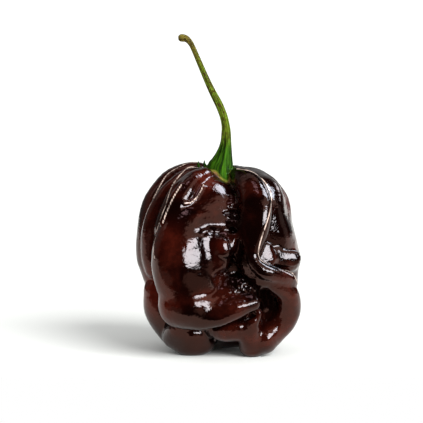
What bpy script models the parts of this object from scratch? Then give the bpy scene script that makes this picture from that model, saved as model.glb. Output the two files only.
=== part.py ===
"""Chocolate habanero pepper, standing upright on its own lobes with its stalk on.

The skin of the pod is where a distance field is zero. Lobes follow curved paths and are blended
with their neighbours, grooves are taken away, and wrinkles push the skin in and out. The stalk is
a ribbed curve that flares into the calyx, whose underside is cut to the shape of the pod.
Lengths in the tables are millimetres: X is right, Y is back and Z is up.
"""

import math

import bmesh
import bpy
import numpy as np
import openvdb

# Driving dimensions, in millimetres
POD_HEIGHT = 46.7  # from the flat spots to the highest shoulder
DRAWN_HEIGHT = 46.7  # height of the pod that the tables below draw
MIDDLE = (0.083, 0.46)  # drawn X and Y of the middle of the pod's outline
BASE_CUT = 0.6  # drawn height of the plane that the pod stands on
POD_LOW = (-23, -22, -2)  # corners of the box that holds the pod
POD_HIGH = (23, 23, 50)
SKIN_STEP = 1.4  # grid spacing of the pod's mesh
CLEARANCE = 0.4  # gap between the pod and the calyx
METRES = 0.001 * POD_HEIGHT / DRAWN_HEIGHT  # metres in a drawn millimetre

CREASE = 1.2  # how softly one lobe meets the next
PATH_STEPS = 5  # straight steps between two points of a lobe's path
FAR = 6.0  # distances are not worked out beyond this
BLOCK = 8  # grid steps on a side of the blocks that are searched for skin

# Lobes: softness inside the lobe, squash as (direction, share) or None, then paths of x, y, z, radius
LOBES = {
    "core": (2, None, [[(0, 2, 13, 12), (0, 2.4, 22, 14), (0, 2.4, 30, 14), (0, 2, 35, 9.6)]]),
    "crown": (2, None, [[(0.7, 0.4, 39, 4.5), (0.7, 0.6, 41, 3.8)]]),
    "left shoulder": (2, None, [[
        (-3.5, 4, 43.6, 2.8), (-6.5, 4, 43.2, 4), (-10.8, 3.2, 40.6, 4.9), (-14, 2.2, 35.5, 5.3),
        (-15, 1.2, 29, 5.3), (-15, 1, 24, 5.3), (-14.2, 1, 20, 4.9)]]),
    "outer left pleat": (2, None, [[
        (-4, -1, 44.5, 1.8), (-7.2, -2, 43.5, 2.6), (-11.6, -3.5, 40.2, 2.9), (-14.3, -4.3, 35.5, 3.1),
        (-15.9, -4.3, 30.5, 3.1), (-16.2, -3.8, 25.5, 3), (-15.8, -3.5, 21.5, 2.4)]]),
    "middle left pleat": (1.5, None, [[
        (-3.5, -4, 44.6, 1.8), (-7, -6, 43.2, 2.2), (-9.9, -7.8, 40.3, 2.4), (-11.6, -8.6, 36.5, 2.5),
        (-12.7, -9, 32.5, 2.9), (-12.9, -9, 29, 2.9)]]),
    "inner left pleat": (1.4, None, [[
        (-3.4, -4.4, 44.9, 1.7), (-6.2, -7.2, 43.2, 2.3), (-8.8, -9.6, 39.8, 2.7), (-10.4, -10.6, 35.5, 2.9),
        (-11, -11.2, 31, 3.2)]]),
    "lower left": (2, None, [[
        (-13.8, -1, 15.5, 4.8), (-13.4, -1, 11.5, 5.1), (-11.2, -1.5, 7.3, 4.8), (-8.8, -2, 4.6, 4.2),
        (-5, -2, 3.6, 3.2)]]),
    "front": (2.4, ((-0.36, 0.93, 0), 0.78), [
        [(-1.8, -2.6, 42, 3.6), (-2.4, -3.6, 40, 4.8), (-4, -5.2, 37, 5.9), (-6, -7.6, 33.4, 7.1),
         (-7.4, -9.8, 30, 7.9), (-8.4, -11.4, 26, 8.1), (-8.2, -12.3, 22, 8), (-7, -11.8, 18, 7.8)],
        [(-0.8, -9, 33, 4.2), (-0.3, -11, 30.5, 3.6), (0, -12.2, 28, 3.4), (0, -12.8, 25, 3.2)]]),
    "dome": (2, ((0.3, -0.83, 0.47), 0.44), [[(-1.5, -9.3, 34.7, 7.8), (-1.9, -8.1, 37.6, 7.4)]]),
    "rolled lip": (1.6, ((0, 1, 0), 0.9), [
        [(-9, -12.6, 14, 5.8), (-6.8, -13.4, 13.8, 5.8), (-3, -12.9, 13.4, 5), (1, -11.8, 14.6, 4.4),
         (5.4, -11, 16.4, 3.8)],
        [(-4, -14.8, 11.2, 3), (0, -15.7, 11.8, 2.8), (4.4, -15.9, 13.6, 2.5), (8, -14.8, 14.8, 2.1)],
        [(2, -11, 17.2, 4), (5.2, -11, 17.6, 3.6)]]),
    "right of centre": (2, ((0.5, 0.87, 0), 0.78), [[
        (5, -3.2, 44.2, 2.5), (6.5, -6, 43.2, 3.3), (8, -8.6, 40.8, 4.1), (8.6, -10.8, 37.5, 4.4),
        (8.2, -11.8, 34, 4.4), (7.5, -12.4, 30.5, 4.1), (6.8, -13, 27, 3.3), (7.2, -13.2, 24, 3),
        (9.8, -12.8, 21, 3.4)]]),
    "right crest": (1, None, [[
        (4.6, -3.6, 45, 1.4), (7.4, -7, 44.2, 1.7), (9.7, -9.8, 41.6, 1.8), (10.8, -12.4, 38, 1.9),
        (10.5, -13.6, 34.4, 1.9), (9.5, -14.2, 31, 1.9), (8.3, -14.6, 28.4, 1.8), (8, -15, 26.6, 1.6),
        (8.6, -15.3, 24.6, 1.7), (10.4, -15.3, 22.9, 1.9), (12.2, -14.8, 22, 2), (15.6, -12.6, 20.6, 1.9),
        (17.7, -9.4, 19.1, 1.6), (17.4, -5.6, 17.2, 0.8)]]),
    "cheek": (2, None, [
        [(7.6, -13.4, 24, 2.4), (9.8, -13.4, 21.8, 2.4), (13.4, -12.2, 19.4, 2.5), (16.6, -9.8, 16.2, 2.9),
         (17, -8.2, 12.4, 3.1), (15.6, -7.2, 9, 3.2), (12.8, -7, 6, 3.2)],
        [(8.6, -6.5, 24, 4), (10.5, -4.4, 19, 4.8), (11.5, -4, 12, 4.8), (10, -5, 7, 4)]]),
    "right shoulder": (3.5, None, [
        [(4, 3, 43, 2.6), (7.2, 3.2, 42.2, 3.8), (10.6, 2.4, 39.8, 4.7), (12.7, 1.2, 36.5, 5),
         (13.2, 0.2, 32.5, 5), (13.8, -1, 28.5, 5.2), (14.7, -1.5, 24.5, 5.2), (14.6, -1.5, 19, 5)],
        [(8.4, -1.6, 42, 3), (11.4, -3.6, 40, 3.5), (12.2, -5.2, 37, 3.8), (12.5, -5.8, 34, 4),
         (13.4, -5.9, 30.5, 4.2), (13.8, -5.6, 28, 4.2)],
        [(9, -4.8, 39.8, 3.4), (9.8, -6.9, 36.8, 3.5), (10, -7.4, 33, 3.6), (10.8, -7.6, 28, 3.6)]]),
    "right fold": (1, None, [
        [(9.6, -10.4, 26, 2), (11.6, -10.8, 25.4, 2.6), (13.4, -9.6, 24.6, 2.2)],
        [(14.4, -8.4, 24, 2.6), (16.5, -6.4, 23.8, 3.2), (17.4, -1.5, 23.6, 3)]]),
    "front valley floor": (2, None, [[
        (3, -7.4, 38.5, 1.8), (3.6, -9.4, 35, 2.6), (3.6, -11.4, 31, 2.6), (3.2, -12.6, 28.6, 2.2)]]),
    "left foot": (1.5, None, [
        [(-10, -4.6, 5.2, 3.5), (-7.2, -6, 4, 3.9), (-4.6, -6.2, 3.9, 3.4), (-3.2, -6, 4.4, 2.8)],
        [(-10, -6.6, 6, 2.8), (-7.2, -7.8, 6.2, 3.1), (-4.8, -7.6, 5.8, 2.8)],
        [(-11, -5.2, 4.8, 2.4), (-10.2, -8.4, 7.3, 2.2), (-8.4, -9.4, 8.8, 1.8)]]),
    "middle foot": (1.5, None, [[
        (-2.6, -8.2, 8.4, 2.6), (1.2, -10.4, 7.9, 3.3), (4.8, -10.4, 7.9, 3.3)]]),
    "right foot": (1.5, None, [[
        (9, -12.4, 11.8, 1.5), (8, -11.6, 9.4, 2.3), (7.6, -10.4, 6.4, 2.8), (8.2, -8.4, 3.6, 3.4)]]),
    "underside": (2, None, [[(-6, 0, 6.8, 5.4), (6, 0, 6.8, 5.4)]]),
    "lower right": (2, None, [[(14, 3.5, 20, 5.2), (13.6, 2.5, 13, 5.6), (11.5, 2, 8, 5.4)]]),
    "lower left back": (2, None, [[(-14, 6, 20, 4.4), (-13, 6, 13, 5), (-10.5, 5, 8, 5)]]),
    "back left": (2, None, [[
        (-3, 6, 43.2, 3), (-7.2, 9.2, 40.4, 4.6), (-10.8, 11, 34, 5.7), (-9.9, 12.6, 27, 5.8),
        (-11.2, 11.2, 19.5, 6), (-9, 10.4, 12, 5.8), (-6, 7, 6.4, 5)]]),
    "back middle": (2, None, [[
        (0, 7, 43.2, 3), (0.4, 11.8, 40.2, 4.6), (-1.3, 13.6, 34, 5.1), (0.6, 14.4, 27, 5.3),
        (-1.2, 13.8, 19.5, 5.5), (0.2, 11.6, 11, 5.3), (0, 8, 5.2, 5)]]),
    "back right": (2, None, [[
        (4, 6, 43.2, 3), (8.9, 8.2, 39.8, 4.7), (9.8, 11, 34, 5), (11, 11.2, 27, 5.8),
        (9.4, 12, 20.5, 5.4), (10.4, 10.6, 13, 6.1), (6, 6.4, 6.4, 5)]]),
    "back fold": (1.2, None, [[
        (3.4, 16.4, 17.4, 2), (7.4, 16, 15.6, 3), (11.4, 12.8, 14.4, 3.6), (14.4, 8, 15, 3.4)]]),
    "boss": (2, None, [[(0.6, -13.4, 28.6, 2.6), (0.8, -13.5, 27.6, 2.6)]]),
    "heel": (1.5, None, [[(11, -8.2, 5, 3.9), (12.6, -7.4, 6.4, 3.5)]]),
}

# Grooves taken out of the lobes: softness, then a path of x, y, z, radius
GROOVES = {
    "under the lip": (0.8, [
        (-4, -15.4, 8.1, 0.6), (0, -15, 9.3, 1.2), (4, -14.7, 10.9, 1.6), (8.2, -14.2, 12.1, 1.4)]),
    "above the lip": (0.7, [
        (3.2, -16.4, 19.8, 1.2), (-1, -18.2, 18.4, 0.9), (-4.7, -19.2, 17.3, 0.8), (-7.2, -19.6, 16.2, 0.5)]),
    "brow": (0.6, [
        (-6, -16.6, 31, 0.4), (-3, -16.2, 31.7, 0.8), (0.5, -15.6, 31.8, 0.9), (3.4, -13.6, 31.2, 0.9)]),
    "pit": (0.8, [(5.2, -14, 29.4, 0.9), (4.9, -14.4, 27.6, 1.2), (4.4, -14.4, 25.6, 1)]),
}

# Patches of wrinkled skin: centre, radii, depth, waves per millimetre, seed, and whether it folds.
# A folded patch has sharp ridges and round hollows, or sharp slits if its depth is negative.
WRINKLES = {
    "beside the right foot": ((11, -10, 9), (2.6, 4, 4), 0.5, (0.5, 0.4, 0.45), 3, True),
    "left of the stalk": ((-7, -5, 43.5), (5, 5, 3), 0.3, (0.4, 0.4, 0.4), 4, False),
    "right shoulder": ((13, -1, 41), (4, 6, 4), 0.35, (0.4, 0.4, 0.4), 5, False),
    "left edge": ((-14, -9, 28), (2.5, 4, 3.5), 0.5, (0.35, 0.35, 0.35), 6, False),
}
SWELLING = 0.12  # depth of the slow rise and fall all over the skin
SWELLING_WAVES = 0.3  # its waves per millimetre
WRINKLE_REACH = 2.5  # wrinkles are worked out this near the skin
SWELLING_SEED = 11
FOLD = (1.4, 0.45)  # how steep a fold's sides are, and how much of it stands out of the skin
NOISE_CELLS = 32  # the noise repeats after so many cells

# How points of the grid's mesh slide onto the zero surface
ROUNDS = 3
PROBE = 0.05  # distance over which the slope is measured
LEAST_SLOPE = 0.2  # squared, so that a flat spot doesn't throw a point away
LONGEST_SLIDE = 0.3  # as a share of the grid's spacing

# Stalk: x, y, z and radius along its length, from the calyx to the cut end
STALK = [
    (0.3, 0.2, 42.6, 4.2), (0.3, 0.2, 44.2, 3.9), (0.3, 0.2, 45.3, 3.6), (0.5, 0.2, 46.5, 3.15),
    (0.8, 0.2, 47.5, 2.7), (1.2, 0.2, 49.1, 2.1), (1.55, 0.2, 50.9, 1.6), (1.75, 0.2, 52.7, 1.28),
    (1.8, 0.2, 54.6, 1.15), (1.7, 0.2, 56.4, 1), (1.3, 0.2, 58.4, 0.95), (0.6, 0.25, 60.4, 0.93),
    (-0.2, 0.3, 62.2, 0.93), (-1.7, 0.3, 65.1, 0.82), (-3.3, 0.35, 68.6, 0.72), (-4.8, 0.4, 72.1, 0.66),
    (-6.3, 0.4, 75.6, 0.62), (-7.1, 0.4, 77, 0.68), (-8, 0.4, 77.8, 0.82), (-8.9, 0.4, 78, 0.92),
    (-9.5, 0.4, 77.95, 0.8), (-9.9, 0.4, 77.9, 0.45),
]
STALK_SIDES = 24
STALK_STEPS = 3
STALK_RIBS = ((5, 0.07), (10, 0.03))  # how many ribs, and their height as a share of the radius

TINY = 1e-9
MERGE = 1e-5  # metres
SNAP = 0.3  # points this near the plane that the pod stands on are moved onto it
SHARP = math.radians(60)  # edges sharper than this are not shaded smooth

POD_COLOUR = (0.018, 0.0028, 0.0016, 1)
POD_ROUGHNESS = 0.12
STALK_COLOUR = (0.035, 0.14, 0.014, 1)
STALK_ROUGHNESS = 0.5


def smooth_path(points, steps):
    """Catmull-Rom curve through the points, with the given number of steps between two of them."""
    given = np.array(points, float)
    first = 2 * given[0] - given[1]
    last = 2 * given[-1] - given[-2]
    padded = np.vstack([first, given, last])
    rows = []
    for a, b, c, d in zip(padded, padded[1:], padded[2:], padded[3:]):
        for t in np.arange(steps) / steps:
            bend = (2 * a - 5 * b + 4 * c - d) * t**2 + (3 * b - a - 3 * c + d) * t**3
            rows.append(b + 0.5 * ((c - a) * t + bend))
    rows.append(given[-1])
    return np.array(rows)


def blend(a, b, softness):
    """The smaller of two distances, rounded where they are nearly equal."""
    overlap = np.maximum(softness - np.abs(a - b), 0) / softness
    return np.minimum(a, b) - overlap**2 * softness / 4


class Tube:
    """A round bar of changing radius along a smooth path, squashed along one direction if asked."""

    def __init__(self, points, squash=None):
        path = smooth_path(points, PATH_STEPS)
        reach = path[:, 3].max() + FAR
        self.low = path[:, :3].min(axis=0) - reach
        self.high = path[:, :3].max(axis=0) + reach
        self.stretch = np.eye(3)
        if squash:
            direction = np.array(squash[0]) / np.linalg.norm(squash[0])
            self.stretch += (1 / squash[1] - 1) * np.outer(direction, direction)
        self.centres = path[:, :3] @ self.stretch
        self.radii = path[:, 3]

    def distance(self, points):
        result = np.full(len(points), FAR)
        near = ((points > self.low) & (points < self.high)).all(axis=1)
        spots = points[near] @ self.stretch
        nearest = np.full(len(spots), FAR)
        spans = zip(self.centres, self.centres[1:], self.radii, self.radii[1:])
        for start, end, start_radius, end_radius in spans:
            along = end - start
            offset = spots - start
            share = np.clip(offset @ along / (along @ along), 0, 1)
            offset -= share[:, None] * along
            radius = start_radius + (end_radius - start_radius) * share
            nearest = np.minimum(nearest, np.sqrt((offset**2).sum(axis=1)) - radius)
        result[near] = nearest
        return result


def value_noise(points, seed):
    """Smooth noise between -1 and 1, with one random value on each whole number."""
    values = np.random.default_rng(seed).uniform(-1, 1, (NOISE_CELLS,) * 3)
    cell = np.floor(points).astype(int)
    share = points - cell
    share = share**3 * (share * (share * 6 - 15) + 10)
    total = np.zeros(len(points))
    for corner in np.ndindex(2, 2, 2):
        weight = np.where(corner, share, 1 - share).prod(axis=1)
        total += weight * values[tuple(((cell + corner) % NOISE_CELLS).T)]
    return total


def wrinkle(points):
    """How far the wrinkles push the skin in at each point."""
    depth = SWELLING * value_noise(points * SWELLING_WAVES, SWELLING_SEED)
    for centre, radii, height, waves, seed, folded in WRINKLES.values():
        fade = np.exp(-(((points - centre) / radii) ** 2).sum(axis=1))
        noise = value_noise(points * waves, seed)
        if folded:
            noise = FOLD[0] * np.abs(noise) - FOLD[1]
        depth += height * fade * noise
    return depth


def pod_field():
    """Builds the lobes and grooves once, and returns the pod's distance function."""
    lobes = [(soft, [Tube(path, squash) for path in paths]) for soft, squash, paths in LOBES.values()]
    grooves = [(soft, Tube(path)) for soft, path in GROOVES.values()]

    def distance(points):
        result = np.full(len(points), FAR)
        for softness, tubes in lobes:
            lobe = tubes[0].distance(points)
            for tube in tubes[1:]:
                lobe = blend(lobe, tube.distance(points), softness)
            result = blend(result, lobe, CREASE)
        for softness, groove in grooves:
            result = -blend(-result, groove.distance(points), softness)
        near = np.abs(result) < WRINKLE_REACH
        result[near] += wrinkle(points[near])
        return result

    return distance


def grid_of(counts):
    return np.stack(np.meshgrid(*map(np.arange, counts), indexing="ij"), axis=-1).reshape(-1, 3)


def skin_of(distance, low, high, step):
    """Points and quads of the zero surface, from a grid that is filled only in blocks near it."""
    low = np.array(low, float)
    counts = np.ceil((np.array(high) - low) / (step * BLOCK)).astype(int)
    blocks = grid_of(counts)
    middles = distance((blocks + 0.5) * BLOCK * step + low)
    values = np.where(middles < 0, -1.0, 1.0).reshape(counts)
    for axis in range(3):
        values = np.repeat(values, BLOCK, axis=axis)
    cells = grid_of((BLOCK,) * 3)
    for block in blocks[np.abs(middles) < BLOCK * step * 1.5]:
        spots = block * BLOCK + cells
        values[tuple(spots.T)] = np.clip(distance(spots * step + low), -1, 1)
    grid = openvdb.FloatGrid(1.0)
    grid.copyFromArray(values.astype(np.float32))
    points, quads = grid.convertToQuads(isovalue=0.0)
    return settle(distance, points * step + low, step), quads


def settle(distance, points, step):
    """Slides each point along the slope of the field until it lies on the zero surface."""
    corners = np.array([(1, -1, -1), (-1, -1, 1), (-1, 1, -1), (1, 1, 1)])
    for _ in range(ROUNDS):
        slope = sum(c * distance(points + PROBE * c)[:, None] for c in corners) / (4 * PROBE)
        steepness = np.maximum((slope**2).sum(axis=1), LEAST_SLOPE)
        move = slope * (distance(points) / steepness)[:, None]
        length = np.maximum(np.linalg.norm(move, axis=1), TINY)
        points = points - move * np.minimum(1, LONGEST_SLIDE * step / length)[:, None]
    return points


def to_metres(points):
    """Drawn millimetres to metres, with the origin in the middle of the plane of the cut."""
    return (np.asarray(points) - (*MIDDLE, BASE_CUT)) * METRES


def keep_largest_body(mesh):
    """Removes the sealed hollows between lobes, which are bodies of their own."""
    unseen = set(mesh.verts)
    bodies = []
    while unseen:
        edge = [unseen.pop()]
        body = set(edge)
        while edge:
            linked = {e.other_vert(v) for v in edge for e in v.link_edges}
            edge = linked - body
            body |= edge
        unseen -= body
        bodies.append(body)
    bodies.sort(key=len)
    for body in bodies[:-1]:
        bmesh.ops.delete(mesh, geom=list(body), context="VERTS")


def cut_flat(mesh, snap):
    """Cuts the mesh at z = 0, and closes the cut with flat faces."""
    for vert in mesh.verts:
        if abs(vert.co.z) < snap:
            vert.co.z = 0
    everything = mesh.verts[:] + mesh.edges[:] + mesh.faces[:]
    bmesh.ops.bisect_plane(
        mesh, geom=everything, dist=TINY, plane_co=(0, 0, 0), plane_no=(0, 0, 1), clear_inner=True
    )
    rim = [edge for edge in mesh.edges if edge.is_boundary]
    bmesh.ops.edgeloop_fill(mesh, edges=rim)


def object_from(name, mesh, collection, material=None):
    data = bpy.data.meshes.new(name)
    mesh.to_mesh(data)
    mesh.free()
    data.shade_smooth()
    if material:
        data.materials.append(material)
    made = bpy.data.objects.new(name, data)
    collection.objects.link(made)
    return made


def surface_mesh(distance, low, high, step):
    """The zero surface as a bmesh in metres, without loose bodies."""
    points, quads = skin_of(distance, low, high, step)
    data = bpy.data.meshes.new("surface")
    data.from_pydata(to_metres(points).tolist(), [], quads.tolist())
    mesh = bmesh.new()
    mesh.from_mesh(data)
    bpy.data.meshes.remove(data)
    keep_largest_body(mesh)
    return mesh


def build_pod(distance, collection, material):
    mesh = surface_mesh(distance, POD_LOW, POD_HIGH, SKIN_STEP)
    cut_flat(mesh, SNAP * METRES)
    bmesh.ops.recalc_face_normals(mesh, faces=mesh.faces[:])
    pod = object_from("pod", mesh, collection, material)
    pod.data.set_sharp_from_angle(angle=SHARP)
    return pod


def build_clearance(distance, collection):
    """Cutter: the top of the pod, grown by the clearance."""
    mesh = surface_mesh(lambda points: distance(points) - CLEARANCE, POD_LOW, POD_HIGH, SKIN_STEP)
    cutter = object_from("pod_clearance", mesh, collection)
    cutter.hide_render = True
    cutter.display_type = "WIRE"
    return cutter


def closed_curve(name, points, collection):
    curve = bpy.data.curves.new(name, "CURVE")
    curve.dimensions = "2D"
    spline = curve.splines.new("POLY")
    spline.points.add(len(points) - 1)
    spline.use_cyclic_u = True
    for spot, (x, y) in zip(spline.points, points):
        spot.co = (x, y, 0, 1)
    made = bpy.data.objects.new(name, curve)
    collection.objects.link(made)
    made.hide_render = True
    return made


def rib_profile(collection):
    """Outline of the stalk's cross-section, one drawn millimetre in radius."""
    outline = []
    for angle in np.arange(STALK_SIDES) * 2 * math.pi / STALK_SIDES:
        radius = METRES * (1 + sum(height * math.cos(count * angle) for count, height in STALK_RIBS))
        outline.append((radius * math.cos(angle), radius * math.sin(angle)))
    return closed_curve("rib_profile", outline, collection)


def build_stalk(distance, collection, cutters, material):
    """A curve with a ribbed outline, made a mesh and cut to rest on the pod."""
    path = smooth_path(STALK, STALK_STEPS)
    curve = bpy.data.curves.new("stalk_path", "CURVE")
    curve.dimensions = "3D"
    curve.bevel_mode = "OBJECT"
    curve.bevel_object = rib_profile(cutters)
    curve.use_fill_caps = True
    spline = curve.splines.new("POLY")
    spline.points.add(len(path) - 1)
    for spot, place, radius in zip(spline.points, to_metres(path[:, :3]), path[:, 3]):
        spot.co = (*place, 1)
        spot.radius = radius
    guide = bpy.data.objects.new("stalk_path", curve)
    cutters.objects.link(guide)
    bpy.context.view_layer.update()
    graph = bpy.context.evaluated_depsgraph_get()
    data = bpy.data.meshes.new_from_object(guide.evaluated_get(graph))
    mesh = bmesh.new()
    mesh.from_mesh(data)
    bpy.data.meshes.remove(data)
    bpy.data.objects.remove(guide)
    bmesh.ops.remove_doubles(mesh, verts=mesh.verts[:], dist=MERGE)
    bmesh.ops.recalc_face_normals(mesh, faces=mesh.faces[:])
    stalk = object_from("stem", mesh, collection, material)
    stalk.data.set_sharp_from_angle(angle=SHARP)
    cut = stalk.modifiers.new("seat on the pod", "BOOLEAN")
    cut.operation = "DIFFERENCE"
    cut.object = build_clearance(distance, cutters)
    return stalk


def skin_material(name, colour, roughness):
    material = bpy.data.materials.new(name)
    material.use_nodes = True
    shader = material.node_tree.nodes["Principled BSDF"]
    shader.inputs["Base Color"].default_value = colour
    shader.inputs["Roughness"].default_value = roughness
    material.diffuse_color = colour
    return material


def new_collection(name):
    collection = bpy.data.collections.new(name)
    bpy.context.scene.collection.children.link(collection)
    return collection


def main():
    for old in list(bpy.data.objects):
        bpy.data.objects.remove(old)
    pepper = new_collection("chocolate_habanero")
    cutters = new_collection("cutters")
    distance = pod_field()
    build_pod(distance, pepper, skin_material("pod skin", POD_COLOUR, POD_ROUGHNESS))
    build_stalk(distance, pepper, cutters, skin_material("stalk skin", STALK_COLOUR, STALK_ROUGHNESS))


main()
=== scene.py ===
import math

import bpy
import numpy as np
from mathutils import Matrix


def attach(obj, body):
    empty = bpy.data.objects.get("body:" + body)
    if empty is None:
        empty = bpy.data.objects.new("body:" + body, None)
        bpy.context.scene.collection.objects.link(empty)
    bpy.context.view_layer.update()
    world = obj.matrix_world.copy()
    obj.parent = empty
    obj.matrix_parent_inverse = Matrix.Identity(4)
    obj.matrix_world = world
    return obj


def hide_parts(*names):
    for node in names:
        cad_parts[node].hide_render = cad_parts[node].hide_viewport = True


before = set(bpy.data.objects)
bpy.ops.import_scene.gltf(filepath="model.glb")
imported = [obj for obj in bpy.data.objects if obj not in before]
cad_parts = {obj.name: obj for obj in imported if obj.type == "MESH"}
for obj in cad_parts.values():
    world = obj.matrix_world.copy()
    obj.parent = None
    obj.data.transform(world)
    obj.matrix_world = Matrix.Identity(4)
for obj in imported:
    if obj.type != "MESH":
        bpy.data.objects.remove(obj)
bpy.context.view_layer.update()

# Chocolate habanero pepper: the pod's skin and the stalk in full detail, their materials, and the studio.
# The skin is where a distance field is zero, made from the solid's lobes on a finer grid, with more small
# lobes, grooves and wrinkles. Thin slits, and lines of painted highlight along the crests, are given as
# pixels of the photograph, and laid on the skin where its camera sees them. Lengths are millimetres: X is
# right, Y is back and Z is up.

import openvdb
from mathutils import Vector
from mathutils.kdtree import KDTree

MIDDLE = (0.083, 0.46)  # drawn X and Y of the middle of the pod's outline
BASE_CUT = 0.6  # drawn height of the plane that the pod stands on
POD_LOW = (-23, -22, -2)  # corners of the box that holds the pod
POD_HIGH = (23, 23, 50)
SKIN_STEP = 0.36  # grid spacing of the pod's mesh
METRES = 0.001  # metres in a drawn millimetre

CREASE = 0.7  # how softly one lobe meets the next
PATH_STEPS = 5  # straight steps between two points of a lobe's path
FAR = 6.0  # distances are not worked out beyond this
BLOCK = 8  # grid steps on a side of the blocks that are searched for skin
WIDE = 3  # blocks on a side of the wide blocks that are searched first
WIDE_MARGIN = 1  # added to the reach of a wide block
CLEAR = 1.2  # a block is clear of the skin when its middle is this many sides away
BATCH = 300  # blocks worked out at a time
PROBE = 0.05  # step from a point to the places that give the slope there
LEAST_STEEPNESS = 0.2  # a squared slope below this counts as this
LONGEST_MOVE = 0.3  # grid steps that a point may slide to reach the skin
TINY = 1e-9  # keeps a division from being by nothing

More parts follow.
